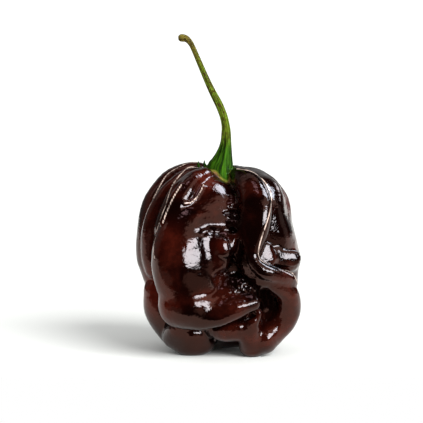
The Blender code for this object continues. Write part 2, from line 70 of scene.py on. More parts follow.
# Lobes: softness inside the lobe, squash as (direction, share) or None, then paths of x, y, z, radius
LOBES = {
    "core": (2, None, [[(0, 2, 13, 12), (0, 2.4, 22, 14), (0, 2.4, 30, 14), (0, 2, 35, 9.6)]]),
    "crown": (2, None, [[(0.7, 0.4, 39, 4.5), (0.7, 0.6, 41, 3.8)]]),
    "left shoulder": (2, None, [[
        (-3.5, 4, 43.6, 2.8), (-6.5, 4, 43.2, 4), (-10.8, 3.2, 40.6, 4.9), (-14, 2.2, 35.5, 5.3),
        (-15, 1.2, 29, 5.3), (-15, 1, 24, 5.3), (-14.2, 1, 20, 4.9)]]),
    "outer left pleat": (2, None, [[
        (-4, -1, 44.5, 1.8), (-7.2, -2, 43.5, 2.6), (-11.6, -3.5, 40.2, 2.9), (-14.3, -4.3, 35.5, 3.1),
        (-15.9, -4.3, 30.5, 3.1), (-16.2, -3.8, 25.5, 3), (-15.8, -3.5, 21.5, 2.4)]]),
    "middle left pleat": (1.5, None, [[
        (-3.5, -4, 44.6, 1.8), (-7, -6, 43.2, 2.2), (-9.9, -7.8, 40.3, 2.4), (-11.6, -8.6, 36.5, 2.5),
        (-12.7, -9, 32.5, 2.9), (-12.9, -9, 29, 2.9)]]),
    "inner left pleat": (1.4, None, [[
        (-3.4, -4.4, 44.9, 1.7), (-6.2, -7.2, 43.2, 2.3), (-8.8, -9.6, 39.8, 2.7),
        (-10.4, -10.6, 35.5, 2.9), (-11, -11.2, 31, 3.2)]]),
    "fine crests": (0.8, None, [
        [(-9.2, -9.9, 43.3, 0.5), (-10.9, -11.3, 40.7, 0.6), (-11.9, -11.7, 38.8, 0.6),
         (-12.9, -12.1, 36.6, 0.6), (-13.9, -13, 34, 0.5)],
        [(-3.7, -9, 42.6, 0.25), (-4.4, -10.1, 41.3, 0.3), (-5.4, -11.1, 40, 0.3), (-6.8, -11.9, 38.9, 0.3),
         (-8.2, -12.4, 38.8, 0.25)]]),
    "lower left": (2, None, [[
        (-13.8, -1, 15.5, 4.8), (-13.4, -1, 11.5, 5.1), (-11.2, -1.5, 7.3, 4.8), (-8.8, -2, 4.6, 4.2),
        (-5, -2, 3.6, 3.2)]]),
    "front": (2.4, ((-0.36, 0.93, 0), 0.78), [
        [(-1.8, -2.6, 42, 3.6), (-2.4, -3.6, 40, 4.8), (-4, -5.2, 37, 5.9), (-6, -7.6, 33.4, 7.1),
         (-7.4, -9.8, 30, 7.9), (-8.4, -11.4, 26, 8.1), (-8.2, -12.3, 22, 8), (-7, -11.8, 18, 7.8)],
        [(-0.8, -9, 33, 4.2), (-0.3, -11, 30.5, 3.6), (0, -12.2, 28, 3.4), (0, -12.8, 25, 3.2)]]),
    "dome": (2, ((0.3, -0.83, 0.47), 0.44), [[(-1.5, -9.3, 34.7, 7.8), (-1.9, -8.1, 37.6, 7.4)]]),
    "rolled lip": (1.6, ((0, 1, 0), 0.9), [
        [(-9, -12.6, 14, 5.8), (-6.8, -13.4, 13.8, 5.8), (-3, -12.9, 13.4, 5), (1, -11.8, 14.6, 4.4),
         (5.4, -11, 16.4, 3.8)],
        [(-4, -14.8, 11.2, 3), (0, -15.7, 11.8, 2.8), (4.4, -15.9, 13.6, 2.5), (8, -14.8, 14.8, 2.1)],
        [(2, -11, 17.2, 4), (5.2, -11, 17.6, 3.6)]]),
    "right of centre": (2, ((0.5, 0.87, 0), 0.78), [[
        (5, -3.2, 44.2, 2.5), (6.5, -6, 43.2, 3.3), (8, -8.6, 40.8, 4.1), (8.6, -10.8, 37.5, 4.4),
        (8.2, -11.8, 34, 4.4), (7.5, -12.4, 30.5, 4.1), (6.8, -13, 27, 3.3), (7.2, -13.2, 24, 3),
        (9.8, -12.8, 21, 3.4)]]),
    "right crest": (1, None, [[
        (4.6, -3.6, 45, 1.4), (7.4, -7, 44.2, 1.7), (9.7, -9.8, 41.6, 1.8), (10.8, -12.4, 38, 1.9),
        (10.5, -13.6, 34.4, 1.9), (9.5, -14.2, 31, 1.9), (8.3, -14.6, 28.4, 1.8), (8, -15, 26.6, 1.6),
        (8.6, -15.3, 24.6, 1.7), (10.4, -15.3, 22.9, 1.9), (12.2, -14.8, 22, 2), (15.6, -12.6, 20.6, 1.9),
        (17.7, -9.4, 19.1, 1.6), (17.4, -5.6, 17.2, 0.8)]]),
    "cheek": (2, None, [
        [(7.6, -13.4, 24, 2.4), (9.8, -13.4, 21.8, 2.4), (13.4, -12.2, 19.4, 2.5), (16.6, -9.8, 16.2, 2.9),
         (17, -8.2, 12.4, 3.1), (15.6, -7.2, 9, 3.2), (12.8, -7, 6, 3.2)],
        [(8.6, -6.5, 24, 4), (10.5, -4.4, 19, 4.8), (11.5, -4, 12, 4.8), (10, -5, 7, 4)]]),
    "right shoulder": (3.5, None, [
        [(4, 3, 43, 2.6), (7.2, 3.2, 42.2, 3.8), (10.6, 2.4, 39.8, 4.7), (12.7, 1.2, 36.5, 5),
         (13.2, 0.2, 32.5, 5), (13.8, -1, 28.5, 5.2), (14.7, -1.5, 24.5, 5.2), (14.6, -1.5, 19, 5)],
        [(8.4, -1.6, 42, 3), (11.4, -3.6, 40, 3.5), (12.2, -5.2, 37, 3.8), (12.5, -5.8, 34, 4),
         (13.4, -5.9, 30.5, 4.2), (13.8, -5.6, 28, 4.2)],
        [(9, -4.8, 39.8, 3.4), (9.8, -6.9, 36.8, 3.5), (10, -7.4, 33, 3.6), (10.8, -7.6, 28, 3.6)]]),
    "right fold": (1, None, [
        [(9.6, -10.4, 26, 2), (11.6, -10.8, 25.4, 2.6), (13.4, -9.6, 24.6, 2.2)],
        [(14.4, -8.4, 24, 2.6), (16.5, -6.4, 23.8, 3.2), (17.4, -1.5, 23.6, 3)]]),
    "front valley floor": (2, None, [[
        (3, -7.4, 38.5, 1.8), (3.6, -9.4, 35, 2.6), (3.6, -11.4, 31, 2.6), (3.2, -12.6, 28.6, 2.2)]]),
    "left foot": (1.5, None, [
        [(-10, -4.6, 5.2, 3.5), (-7.2, -6, 4, 3.9), (-4.6, -6.2, 3.9, 3.4), (-3.2, -6, 4.4, 2.8)],
        [(-10, -6.6, 6, 2.8), (-7.2, -7.8, 6.2, 3.1), (-4.8, -7.6, 5.8, 2.8)],
        [(-11, -5.2, 4.8, 2.4), (-10.2, -8.4, 7.3, 2.2), (-8.4, -9.4, 8.8, 1.8)]]),
    "middle foot": (1.5, None, [[
        (-2.6, -8.2, 8.4, 2.6), (1.2, -10.4, 7.9, 3.3), (4.8, -10.4, 7.9, 3.3)]]),
    "right foot": (1.5, None, [[
        (9, -12.4, 11.8, 1.5), (8, -11.6, 9.4, 2.3), (7.6, -10.4, 6.4, 2.8), (8.2, -8.4, 3.6, 3.4)]]),
    "underside": (2, None, [[(-6, 0, 6.8, 5.4), (6, 0, 6.8, 5.4)]]),
    "lower right": (2, None, [[(14, 3.5, 20, 5.2), (13.6, 2.5, 13, 5.6), (11.5, 2, 8, 5.4)]]),
    "lower left back": (2, None, [[(-14, 6, 20, 4.4), (-13, 6, 13, 5), (-10.5, 5, 8, 5)]]),
    "back left": (2, None, [[
        (-3, 6, 43.2, 3), (-7.2, 9.2, 40.4, 4.6), (-10.8, 11, 34, 5.7), (-9.9, 12.6, 27, 5.8),
        (-11.2, 11.2, 19.5, 6), (-9, 10.4, 12, 5.8), (-6, 7, 6.4, 5)]]),
    "back middle": (2, None, [[
        (0, 7, 43.2, 3), (0.4, 11.8, 40.2, 4.6), (-1.3, 13.6, 34, 5.1), (0.6, 14.4, 27, 5.3),
        (-1.2, 13.8, 19.5, 5.5), (0.2, 11.6, 11, 5.3), (0, 8, 5.2, 5)]]),
    "back right": (2, None, [[
        (4, 6, 43.2, 3), (8.9, 8.2, 39.8, 4.7), (9.8, 11, 34, 5), (11, 11.2, 27, 5.8),
        (9.4, 12, 20.5, 5.4), (10.4, 10.6, 13, 6.1), (6, 6.4, 6.4, 5)]]),
    "back fold": (1.2, None, [[
        (3.4, 16.4, 17.4, 2), (7.4, 16, 15.6, 3), (11.4, 12.8, 14.4, 3.6), (14.4, 8, 15, 3.4)]]),
    "boss": (2, None, [[(0.6, -13.4, 28.6, 2.6), (0.8, -13.5, 27.6, 2.6)]]),
    "heel": (1.5, None, [[(11, -8.2, 5, 3.9), (12.6, -7.4, 6.4, 3.5)]]),
    "pit facet": (1, ((0.335, -0.919, 0.208), 0.25), [[(11.4, -12.75, 27.6, 2), (11.7, -13.2, 25.4, 2)]]),
    "crescent facet": (1, ((0.398, -0.894, 0.208), 0.22), [[
        (14.3, -10.95, 26.3, 1.5), (15.4, -10.6, 25.2, 1.9), (18.08, -9.38, 25, 2.1)]]),
}

# Grooves taken out of the lobes: softness, then a path of x, y, z, radius
GROOVES = {
    "under the lip": (0.8, [
        (-4, -15.4, 8.1, 0.6), (0, -15, 9.3, 1.2), (4, -14.7, 10.9, 1.6), (8.2, -14.2, 12.1, 1.4)]),
    "above the lip": (0.7, [
        (3.2, -16.4, 19.8, 1.2), (-1, -18.2, 18.4, 0.9), (-4.7, -19.2, 17.3, 0.8),
        (-7.2, -19.6, 16.2, 0.5)]),
    "brow": (1.2, [
        (-3.8, -15.2, 31.9, 0.3), (-2, -14.5, 32.5, 0.7), (0, -13.9, 32.1, 1), (1.9, -13.3, 32.6, 0.7),
        (3.6, -12.6, 32.1, 0.9)]),
    "pit": (0.8, [(5.2, -14, 29.4, 0.9), (4.9, -14.4, 27.6, 1.2), (4.4, -14.4, 25.6, 1)]),
    "slit": (0.4, [
        (-1.5, -13.2, 8.4, 0.6), (1.5, -12.4, 9.4, 1.1), (4.8, -12, 10.5, 1.4), (8.2, -12, 11.4, 1.2)]),
    "deep slit": (0.4, [(0, -11, 9.4, 0.8), (3, -10.2, 10.2, 1.2), (6.6, -10.2, 11, 1.2)]),
}

# Patches of wrinkled skin: centre, radii, depth, waves per millimetre, seed, and whether it folds.
# A folded patch has sharp ridges and round hollows, or sharp slits if its depth is negative.
WRINKLES = {
    "across the front": ((0.6, -12.4, 36.4), (4.6, 5, 3), -0.3, (0.1, 0.12, 0.6), 1, True),
    "hollow": ((5, -14.5, 19), (4, 4.5, 4), 0.6, (0.6, 0.3, 0.75), 2, True),
    "beside the right foot": ((11, -10, 9), (2.6, 4, 4), 0.5, (0.5, 0.4, 0.45), 3, True),
    "left of the stalk": ((-7, -5, 43.5), (5, 5, 3), 0.3, (0.4, 0.4, 0.4), 4, False),
    "right shoulder": ((13, -1, 41), (4, 6, 4), 0.35, (0.4, 0.4, 0.4), 5, False),
    "left edge": ((-14, -9, 28), (2.5, 4, 3.5), 0.5, (0.35, 0.35, 0.35), 6, False),
    "valley": ((3.8, -9, 36), (2, 4, 7), 0.4, (0.7, 0.5, 0.5), 7, True),
    "brow": ((-0.4, -14.4, 32), (4, 4, 1.5), 0.35, (0.55, 0.3, 0.5), 8, True),
}
PATCH_FADE = 0.03  # a patch ends where its share falls to this
FOLD_HEIGHT = 1.4  # from the sharp ridges of a fold to its round hollows, as a share of the depth
FOLD_RIDGE = 0.45  # how far its ridges stand out from the skin, as a share of the depth
SWELLING = 0.12  # depth of the slow rise and fall all over the skin
SWELLING_WAVES = 0.3  # its waves per millimetre
SWELLING_SEED = 11
WRINKLE_REACH = 1.4  # wrinkles are worked out this near the skin
NOISE_CELLS = 32  # random values along each side of the noise before it repeats

# Thin slits in the skin: radius, then pixels of the photograph, column and row
SLITS = {
    "upper": (0.5, [(227, 207), (234, 206), (242, 203)]),
    "middle": (0.44, [(223, 213), (231, 212), (239, 211)]),
    "lower": (0.46, [(226, 219), (232, 218), (239, 218)]),
}
SLIT_SOFTNESS = 0.3  # how softly a slit is cut
SLIT_DEPTH = 0.28  # how far inside the skin the middle of a slit is
SLIT_STEPS = 2  # straight steps between two pixels of a slit
SLIT_END = 0.1  # turn, in radians, that is left off at each end where a slit runs out

# Depths that are searched for skin along the camera's rays, from the plane through its target
LOOK_FIRST = -24
LOOK_LAST = 16
LOOK_STEP = 0.25

# Lines of painted highlight along the crests, partly also the paler stretched skin there: pixels of the
# photograph, column and row
PAINTED_HIGHLIGHT_LINES = {
    "outer": [
        (198, 162), (190, 162), (186, 163), (172, 170), (165, 176), (158, 188), (152, 200), (147, 210),
        (143, 222)],
    "middle": [
        (197, 167), (188, 167), (180, 174), (173, 183), (169, 192), (165, 205), (161, 215), (157, 228),
        (154, 240), (153, 250), (154, 258)],
    "inner": [(181, 184), (174, 195), (170, 203), (166, 212), (162, 223)],
    "curl": [(203, 184), (200, 191), (196, 197), (190, 202), (184, 203)],
    "right": [
        (236, 168), (251, 171), (262, 179), (269, 189), (271, 199), (269, 213), (265, 226), (260, 241),
        (258, 253), (261, 260), (268, 264)],
    "far right": [(282, 269), (292, 273), (298, 284)],
}
PAINTED_HIGHLIGHT_WIDTH = (0.05, 0.25)  # a painted highlight line is full within the first distance and gone at the second
PAINTED_HIGHLIGHT_STEPS = 50  # straight steps between two pixels of a painted highlight line
PAINTED_HIGHLIGHT_REACH = 1  # distances to a painted highlight line are kept up to this

# Redder places of the skin, and painted shade where the amount is below zero: centre, radius, amount
TINTS_AND_PAINTED_SHADE = {
    "left edge": ((-17.5, -5, 16.3), 5.5, 1),
    "lower left": ((-12, -12, 14.7), 6, 0.8),
    "left of the boss": ((-12, -14, 30), 5, 0.5),
    "crown": ((-2.5, -8, 44.5), 3.5, 0.9),
    "boss": ((0.8, -15.5, 29), 3, 0.6),
    "right edge": ((17, -1, 38), 4.5, 0.9),
    "right fold": ((17.5, -4, 27), 3.5, 0.6),
    # amounts below zero, from here to the left foot: painted shade under the lip, in the valley, the hollow
    # and round the left foot
    "front of the lip": ((-4.7, -17, 10.7), 3, -0.6),
    "valley": ((4.5, -11, 34), 5, -1),
    "below the valley": ((5.5, -13, 24), 4, -1),
    "hollow": ((5.5, -14, 20), 3.5, -1),
    "left foot": ((-8, -8, 4), 5, -0.8),
}

# Stalk: x, y, z and radius along its length, from the calyx to the cut end
STALK = [
    (0.3, 0.2, 42.6, 4.2), (0.3, 0.2, 44.2, 3.9), (0.3, 0.2, 45.3, 3.6), (0.5, 0.2, 46.5, 3.15),
    (0.8, 0.2, 47.5, 2.7), (1.2, 0.2, 49.1, 2.1), (1.55, 0.2, 50.9, 1.6), (1.75, 0.2, 52.7, 1.28),
    (1.8, 0.2, 54.6, 1.15), (1.7, 0.2, 56.4, 1), (1.3, 0.2, 58.4, 0.95), (0.6, 0.25, 60.4, 0.93),
    (-0.2, 0.3, 62.2, 0.93), (-1.7, 0.3, 65.1, 0.82), (-3.3, 0.35, 68.6, 0.72), (-4.8, 0.4, 72.1, 0.66),
    (-6.3, 0.4, 75.6, 0.62), (-7.1, 0.4, 77, 0.68), (-8, 0.4, 77.8, 0.82), (-8.9, 0.4, 78, 0.92),
    (-9.5, 0.4, 77.95, 0.8), (-9.9, 0.4, 77.9, 0.45),
]
STALK_SIDES = 72
STALK_STEPS = 8  # rings between two points of its path
STALK_RIBS = ((5, 0.05, 0.6), (13, 0.025, 2.0), (23, 0.015, 0.3))  # ribs: how many, height as a share, turn
STALK_OLIVE = (8, 13)  # length along the stalk over which green turns to olive
STALK_BROWN = (28, 37)  # and over which olive turns to brown
RIM_REACH = 2  # distances between the pod and the stalk are kept up to this
RIM_WIDTH = (0.15, 0.75)  # the pod's tan rim is full within the first distance and gone at the second
FOOT_WIDTH = (0.1, 0.5)  # and so is the yellow at the foot of the stalk

# Dried tips of the calyx round the stalk's foot: turn in degrees from the right, reach, height
CALYX_TEETH = [(168, 5.2, 1.9), (150, 4.2, 1.7), (98, 4.8, 1), (66, 4.6, 0.8), (38, 4.6, 0.5)]
TOOTH_PATH = [(-0.6, -0.1, 0.5), (0.1, 0, 0.42), (0.6, 0.15, 0.26), (1, 0.1, 0.06)]  # up, out, radius
TOOTH_SIDES = 8
TOOTH_STEPS = 3  # rings between two points of its path
TOOTH_SEARCH = 10  # height over which the skin under a tip is looked for
TOOTH_SEARCH_STEP = 0.1

# Colours, as linear red, green and blue
COLOURS = {
    "skin": (0.0025, 0.0004, 0.0003),
    "red patch": (0.033, 0.0045, 0.0023),
    "redder": (0.075, 0.0075, 0.0035),
    # painted shade, for the recesses
    "painted_shade": (0.002, 0.0004, 0.0003),
    # painted highlight along the crests, partly the paler stretched skin there
    "painted crest highlight": (0.85, 0.66, 0.56),
    "rim by the stalk": (0.3, 0.17, 0.06),
    "dark green": (0.002, 0.009, 0.0003),
    "light green": (0.034, 0.108, 0.0036),
    "dark olive": (0.012, 0.018, 0.0015),
    "light olive": (0.16, 0.23, 0.014),
    "brown mottle": (0.05, 0.03, 0.006),
    "dark cut end": (0.05, 0.03, 0.008),
    "light cut end": (0.17, 0.13, 0.022),
    "foot of the stalk": (0.2, 0.2, 0.03),
    "paper": (0.885, 0.9, 0.875),
    "lighter paper": (0.89, 0.905, 0.885),
}

# Reflected panels of the studio: azimuth, elevation, half width, half height, all in degrees, then how
# soft the edge is, and the radiance
PANELS = {
    "key": (40.5, 17.5, 17.5, 8, 0.08, (17.0, 31.5, 41.0)),
    "above the key": (58, 37, 34, 13, 0.06, (1.25, 1.2, 1.15)),
    "side light": (97, 50, 8, 13, 0.1, (14.0, 23.5, 30.5)),
    "top left light": (-10, 74, 10, 5, 0.2, (3.4, 3.6, 4.8)),
    "ceiling": (180, 76, 60, 10, 0.2, (0.62, 0.58, 0.56)),
    "right": (95, 2, 13, 14, 0.4, (0.36, 0.35, 0.34)),
    "left": (-115, 12, 26, 24, 0.4, (0.15, 0.14, 0.13)),
    "table right": (52, -14, 34, 13, 0.2, (0.56, 0.48, 0.44)),
    "table left": (-62, -18, 30, 12, 0.3, (0.24, 0.24, 0.23)),
    "behind right": (134, 24, 9, 8, 0.15, (6.0, 6.6, 7.2)),
    "backdrop": (180, 10, 34, 30, 0.5, (0.35, 0.35, 0.35)),
}
DARKEST = 0.012  # radiance between the panels
LEAST_ALONG = 0.001  # rays less along a panel's direction than this count as this, and so miss it
FILL = 0.68  # what the studio gives to matt surfaces
KEY_AZIMUTH = 42
KEY_ELEVATION = 31
KEY_STRENGTH = 4.2
KEY_ANGLE = 42  # degrees across, for the softness of the shadow
FLOOR_FRONT = -0.036  # Y of the floor's front edge, in metres
FLOOR_RADIUS = 2.5  # in metres
FLOOR_SIDES = 64

# Camera, in metres and degrees
PIXELS = 423  # pixels on a side of the photograph
PIXEL = 0.247e-3  # width of the pod that a pixel of the photograph shows
CENTRE_PIXEL = 219  # the pixel column of X = 0
TARGET_HEIGHT = 0.0346
CAMERA_ELEVATION = 7
CAMERA_DISTANCE = 0.6
CAMERA_NEAR = 0.01
SENSOR = 36  # width of the camera's sensor in millimetres


def smooth_path(points, steps):
    """Catmull-Rom curve through the points, with the given number of steps between two of them."""
    given = np.array(points, float)
    first = 2 * given[0] - given[1]
    last = 2 * given[-1] - given[-2]
    padded = np.vstack([first, given, last])
    rows = []
    for a, b, c, d in zip(padded, padded[1:], padded[2:], padded[3:]):
        for t in np.arange(steps) / steps:
            bend = (2 * a - 5 * b + 4 * c - d) * t**2 + (3 * b - a - 3 * c + d) * t**3
            rows.append(b + 0.5 * ((c - a) * t + bend))
    rows.append(given[-1])
    return np.array(rows)


def blend(a, b, softness):
    """The smaller of two distances, rounded where they are nearly equal."""
    overlap = np.maximum(softness - np.abs(a - b), 0) / softness
    return np.minimum(a, b) - overlap * overlap * (softness / 4)


class Tube:
    """A round bar of changing radius along a smooth path, squashed along one direction if asked."""

    def __init__(self, points, squash=None):
        path = smooth_path(points, PATH_STEPS)
        reach = path[:, 3].max() + FAR
        self.low = path[:, :3].min(axis=0) - reach
        self.high = path[:, :3].max(axis=0) + reach
        stretch = np.eye(3)
        if squash:
            direction = np.array(squash[0]) / np.linalg.norm(squash[0])
            stretch += (1 / squash[1] - 1) * np.outer(direction, direction)
        self.stretch = stretch.astype(np.float32)
        self.centres = (path[:, :3] @ stretch).astype(np.float32)
        self.radii = path[:, 3].astype(np.float32)

    def distance(self, points):
        result = np.full(len(points), FAR, np.float32)
        near = ((points > self.low) & (points < self.high)).all(axis=1)
        spots = points[near] @ self.stretch
        nearest = np.full(len(spots), FAR, np.float32)
        spans = zip(self.centres, self.centres[1:], self.radii, self.radii[1:])
        for start, end, start_radius, end_radius in spans:
            along = end - start
            offset = spots - start
            share = np.clip((offset @ along) / (along @ along), 0, 1)
            offset -= share[:, None] * along
            radius = start_radius + (end_radius - start_radius) * share
            length = np.sqrt(np.einsum("ij,ij->i", offset, offset))
            np.minimum(nearest, length - radius, out=nearest)
        result[near] = nearest
        return result


def value_noise(points, seed):
    """Smooth noise between -1 and 1, with one random value on each whole number."""
    values = np.random.default_rng(seed).uniform(-1, 1, (NOISE_CELLS,) * 3).astype(np.float32)
    cell = np.floor(points).astype(np.int64)
    share = (points - cell).astype(np.float32)
    share = share**3 * (share * (share * 6 - 15) + 10)
    total = np.zeros(len(points), np.float32)
    for corner in np.ndindex(2, 2, 2):
        weight = 1
        for axis, side in enumerate(corner):
            weight = weight * (share[:, axis] if side else 1 - share[:, axis])
        total += weight * values[tuple(((cell + corner) % NOISE_CELLS).T)]
    return total


def wrinkle(points):
    """How far the wrinkles push the skin in at each point."""
    depth = SWELLING * value_noise(points * SWELLING_WAVES, SWELLING_SEED)
    for centre, radii, height, waves, seed, folded in WRINKLES.values():
        reach = (points - np.array(centre, np.float32)) / np.array(radii, np.float32)
        fade = np.exp(-np.einsum("ij,ij->i", reach, reach))
        near = fade > PATCH_FADE
        noise = value_noise(points[near] * np.array(waves, np.float32), seed)
        if folded:
            noise = FOLD_HEIGHT * np.abs(noise) - FOLD_RIDGE
        depth[near] += height * fade[near] * noise
    return depth


def pod_field():
    """Builds the lobes and grooves once, and returns the pod's distance function."""
    lobes = [(soft, [Tube(path, squash) for path in paths]) for soft, squash, paths in LOBES.values()]
    grooves = [(soft, Tube(path)) for soft, path in GROOVES.values()]

    def distance(points):
        points = np.ascontiguousarray(points, np.float32)
        result = np.full(len(points), FAR, np.float32)
        for softness, tubes in lobes:
            lobe = tubes[0].distance(points)
            for tube in tubes[1:]:
                lobe = blend(lobe, tube.distance(points), softness)
            result = blend(result, lobe, CREASE)
        for softness, groove in grooves:
            result = -blend(-result, groove.distance(points), softness)
        near = np.abs(result) < WRINKLE_REACH
        result[near] += wrinkle(points[near])
        return result

    grooves += [(SLIT_SOFTNESS, slit(distance, *given)) for given in SLITS.values()]
    return distance


def camera_rays(pixels):
    """Where pixels lie in the plane of the camera's target, in drawn millimetres, and rays through them."""
    right, up, back = camera_axes()
    target = camera_target()
    across, down = (pixels + 0.5 - PIXELS / 2).T[:, :, None] * PIXEL
    spots = target + across * right - down * up
    rays = spots - (target + back * CAMERA_DISTANCE)
    rays /= np.linalg.norm(rays, axis=1)[:, None]
    return spots / METRES + (*MIDDLE, BASE_CUT), rays


def on_skin(distance, pixels, steps):
    """Points on the skin where the camera sees a curve through pixels, with so many steps between two."""
    spots, rays = camera_rays(smooth_path(pixels, steps))
    depths = np.arange(LOOK_FIRST, LOOK_LAST, LOOK_STEP)
    along = spots[:, None] + depths[:, None] * rays[:, None]
    values = distance(along.reshape(-1, 3)).reshape(len(spots), -1)
    inside = values < 0
    seen = inside.any(axis=1)
    rows, first = np.flatnonzero(seen), inside[seen].argmax(axis=1)
    before, after = values[rows, first - 1], values[rows, first]
    depth = depths[first] - LOOK_STEP * after / (after - before)
    return spots[seen] + depth[:, None] * rays[seen]


def slit(distance, radius, pixels):
    """A thin groove under the skin that runs out at both ends."""
    path = on_skin(distance, pixels, SLIT_STEPS) + (0, SLIT_DEPTH, 0)
    turns = np.linspace(SLIT_END, math.pi - SLIT_END, len(path))
    return Tube(np.column_stack([path, radius * np.sqrt(np.sin(turns))]))


def grid_of(counts):
    """Whole numbers from nothing up to the counts, one row for each cell of a grid."""
    return np.stack(np.meshgrid(*map(np.arange, counts), indexing="ij"), axis=-1).reshape(-1, 3)


def blocks_near_skin(distance, low, high, step):
    """A grid that holds -1 inside and 1 outside, block by block, and the blocks that the skin may cross."""
    wide = WIDE * BLOCK
    counts = np.ceil((high - low) / (step * wide)).astype(int)
    places = grid_of(counts)
    middles = distance((places + 0.5) * wide * step + low)
    values = np.where(middles < 0, -1.0, 1.0).astype(np.float32).reshape(counts)
    for axis in range(3):
        values = np.repeat(values, wide, axis=axis)
    places = places[np.abs(middles) < wide * step + WIDE_MARGIN]
    blocks = (places[:, None] * WIDE + grid_of((WIDE,) * 3)).reshape(-1, 3)
    middles = distance((blocks + 0.5) * BLOCK * step + low)
    clear = np.abs(middles) >= BLOCK * step * CLEAR
    for (x, y, z), middle in zip(blocks[clear] * BLOCK, middles[clear]):
        values[x:x + BLOCK, y:y + BLOCK, z:z + BLOCK] = np.sign(middle)
    return values, blocks[~clear]


def skin_of(distance, low, high, step):
    """Points and quads of the zero surface, from a grid that is filled only near it."""
    low, high = np.array(low, float), np.array(high, float)
    values, blocks = blocks_near_skin(distance, low, high, step)
    cells = grid_of((BLOCK,) * 3)
    for start in range(0, len(blocks), BATCH):
        spots = (blocks[start:start + BATCH, None] * BLOCK + cells).reshape(-1, 3)
        values[tuple(spots.T)] = np.clip(distance(spots * step + low), -1, 1)
    grid = openvdb.FloatGrid(1.0)
    grid.copyFromArray(values)
    points, quads = grid.convertToQuads(isovalue=0.0)
    return settle(distance, points * step + low, step), quads


def settle(distance, points, step):
    """Slides each point along the slope of the field, towards the zero surface."""
    corners = np.array([(1, -1, -1), (-1, -1, 1), (-1, 1, -1), (1, 1, 1)])
    slope = sum(corner * distance(points + PROBE * corner)[:, None] for corner in corners) / (4 * PROBE)
    steepness = np.maximum((slope**2).sum(axis=1), LEAST_STEEPNESS)
    move = slope * (distance(points) / steepness)[:, None]
    length = np.maximum(np.linalg.norm(move, axis=1), TINY)
    return points - move * np.minimum(1, LONGEST_MOVE * step / length)[:, None]


def to_metres(points):
    """Drawn millimetres to metres, with the origin in the middle of the plane of the cut."""
    return (np.asarray(points) - (*MIDDLE, BASE_CUT)) * METRES


def largest_body(count, quads):
    """The quads of the largest connected body, without sealed hollows between lobes."""
    label = np.arange(count)
    while True:
        lowest = label.copy()
        edges = label[quads].min(axis=1)
        for corner in range(4):
            np.minimum.at(lowest, quads[:, corner], edges)
        lowest = lowest[lowest]
        if (lowest == label).all():
            break
        label = lowest
    names, sizes = np.unique(label[quads[:, 0]], return_counts=True)
    return quads[label[quads[:, 0]] == names[sizes.argmax()]]


def object_from(name, points, faces, material):
    """A smooth-shaded object with one material."""
    mesh = bpy.data.meshes.new(name)
    mesh.from_pydata(points.tolist(), [], faces)
    mesh.validate()
    mesh.shade_smooth()
    mesh.materials.append(material)
    made = bpy.data.objects.new(name, mesh)
    bpy.context.scene.collection.objects.link(made)
    return made


def painted_highlight_distance(distance, points):
    """How far each point is from the nearest line of painted highlight."""
    line = np.vstack([on_skin(distance, pixels, PAINTED_HIGHLIGHT_STEPS) for pixels in PAINTED_HIGHLIGHT_LINES.values()])
    tree = KDTree(len(line))
    for number, spot in enumerate(line):
        tree.insert(spot, number)
    tree.balance()
    return [min(tree.find(point)[2], PAINTED_HIGHLIGHT_REACH) for point in points]


def redness_and_painted_shade(points):
    """How much redder the skin is at each point, or below zero how much painted shade darkens it."""
    total = np.zeros(len(points))
    for centre, radius, amount in TINTS_AND_PAINTED_SHADE.values():
        reach = (points - centre) / radius
        total += amount * np.exp(-np.einsum("ij,ij->i", reach, reach))
    return total


def add_attribute(made, name, values):
    """A number, or a vector, kept at each point of the mesh for its material to read."""
    wide = np.ndim(values) == 2
    attribute = made.data.attributes.new(name, "FLOAT_VECTOR" if wide else "FLOAT", "POINT")
    attribute.data.foreach_set("vector" if wide else "value", np.ravel(values))


def build_pod(distance, material):
    """The pod's skin, level where it stands, with the numbers that its material reads."""
    points, quads = skin_of(distance, POD_LOW, POD_HIGH, SKIN_STEP)
    quads = largest_body(len(points), quads.astype(np.int64))
    used, quads = np.unique(quads, return_inverse=True)
    drawn = points[used]
    points = to_metres(drawn)
    points[:, 2] = np.maximum(points[:, 2], 0)
    pod = object_from("pod_skin", points, quads.reshape(-1, 4).tolist(), material)
    # distances to the lines of painted highlight along the crests
    add_attribute(pod, "painted_highlight", painted_highlight_distance(distance, drawn))
    # how much redder the skin is, and below zero how much painted shade darkens it
    add_attribute(pod, "redness_and_painted_shade", redness_and_painted_shade(drawn))
    add_attribute(pod, "from stalk", np.clip(Tube(STALK).distance(drawn), 0, RIM_REACH))
    return pod


def loft(path, sides, ribs=()):
    """Points on rings round a path, faces with closed ends, and each point's place in the grain."""
    centres, radii = path[:, :3], path[:, 3, None, None]
    tangents = np.gradient(centres, axis=0)
    tangents /= np.linalg.norm(tangents, axis=1)[:, None]
    side = (0, 1, 0) - tangents * tangents[:, 1:2]
    side /= np.linalg.norm(side, axis=1)[:, None]
    across = np.cross(side, tangents)
    turns = np.arange(sides) * 2 * math.pi / sides
    swell = np.ones(sides) + sum(height * np.cos(count * turns + turn) for count, height, turn in ribs)
    spokes = across[:, None] * np.cos(turns)[:, None] + side[:, None] * np.sin(turns)[:, None]
    points = (centres[:, None] + radii * swell[:, None] * spokes).reshape(-1, 3)
    along = np.concatenate([[0], np.cumsum(np.linalg.norm(np.diff(centres, axis=0), axis=1))])
    around = np.column_stack([np.cos(turns), np.sin(turns)])
    grain = np.column_stack([np.tile(around, (len(path), 1)), along.repeat(sides)])
    last = (len(path) - 1) * sides
    faces = [list(range(sides))[::-1], list(range(last, last + sides))]
    for start in range(0, last, sides):
        for here in range(sides):
            after = (here + 1) % sides
            faces.append([start + here, start + after, start + after + sides, start + here + sides])
    return points, faces, grain


